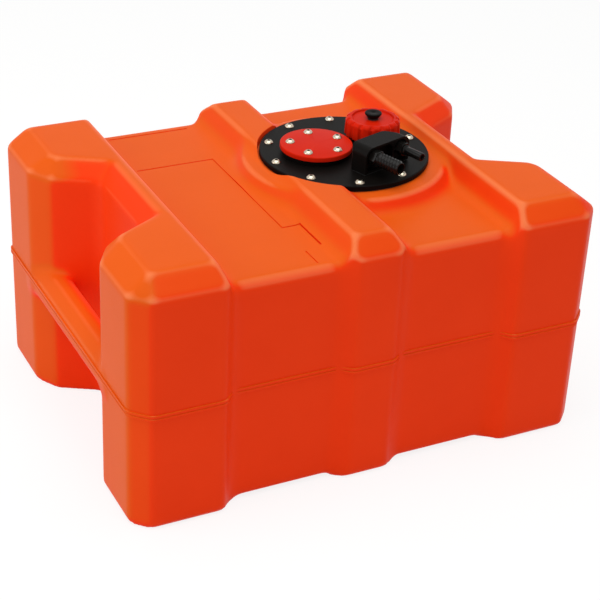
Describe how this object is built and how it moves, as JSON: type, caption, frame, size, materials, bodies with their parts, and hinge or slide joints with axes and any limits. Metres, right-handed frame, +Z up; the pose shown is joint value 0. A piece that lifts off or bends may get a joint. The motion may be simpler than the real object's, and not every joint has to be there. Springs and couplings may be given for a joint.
{
  "type": "outboard fuel tank",
  "caption": "Portable outboard fuel tank: hollow moulded shell with an end grip on each side, round fittings plate, screw filler cap with vent knob, blanked gauge port and hose tails.",
  "frame": {"origin": "middle of the tank's underside, on the ground", "axes": "+Z up, X along the tank from grip to grip, -Y towards the long side that the hose tails point to"},
  "size_m": [0.503, 0.387, 0.2918],
  "materials": {
    "tank_plastic": "orange polyethylene as moulded, faint grain, soft sheen",
    "black_plastic": "black glass-filled nylon, satin",
    "red_plastic": "red moulded plastic, satin",
    "tube_plastic": "natural acetal, satin",
    "stainless": "plain stainless steel",
    "brass": "turned brass",
    "gauze": "fine stainless gauze",
    "rubber": "fuel-proof black rubber"
  },
  "bodies": {
    "tank": {"tank_body": "tank_plastic", "flange_inserts": "brass", "flange_gasket": "rubber", "inspection_plate": "black_plastic", "plate_screws": "stainless", "sender_inserts": "brass", "sender_gasket": "rubber", "sender_cover": "red_plastic", "sender_screws": "stainless", "manifold_block": "black_plastic", "manifold_gasket": "rubber", "manifold_screws": "stainless", "supply_hose_tail": "black_plastic", "breather_hose_tail": "black_plastic", "supply_tail_seal": "rubber", "breather_tail_seal": "rubber", "pickup_tube": "tube_plastic", "pickup_tube_seal": "rubber", "pickup_strainer": "tube_plastic", "strainer_gauze": "gauze"},
    "cap_seal": {"cap_gasket": "rubber"},
    "cap": {"filler_cap": "red_plastic"},
    "vent_washer": {"vent_seal": "rubber"},
    "vent": {"vent_knob": "black_plastic", "vent_retainer": "stainless"}
  },
  "joints": [
    {"name": "cap_lift", "type": "slide", "parent": "tank", "child": "cap_seal", "axis": [0, 0, 1], "range_m": [0, 0.08]},
    {"name": "cap_turn", "type": "hinge", "parent": "cap_seal", "child": "cap", "pos_m": [0.104, 0.029, 0.277], "axis": [0, 0, 1], "range_deg": [0, 540]},
    {"name": "vent_rise", "type": "slide", "parent": "cap", "child": "vent_washer", "axis": [0, 0, 1], "range_m": [0, 0.002]},
    {"name": "vent_turn", "type": "hinge", "parent": "vent_washer", "child": "vent", "pos_m": [0.104, 0.029, 0.288], "axis": [0, 0, 1], "range_deg": [0, 360]}
  ],
  "couplings": [
    {"joint": "vent_turn", "follows": "vent_rise", "rad_per_m": 3141.5}
  ]
}
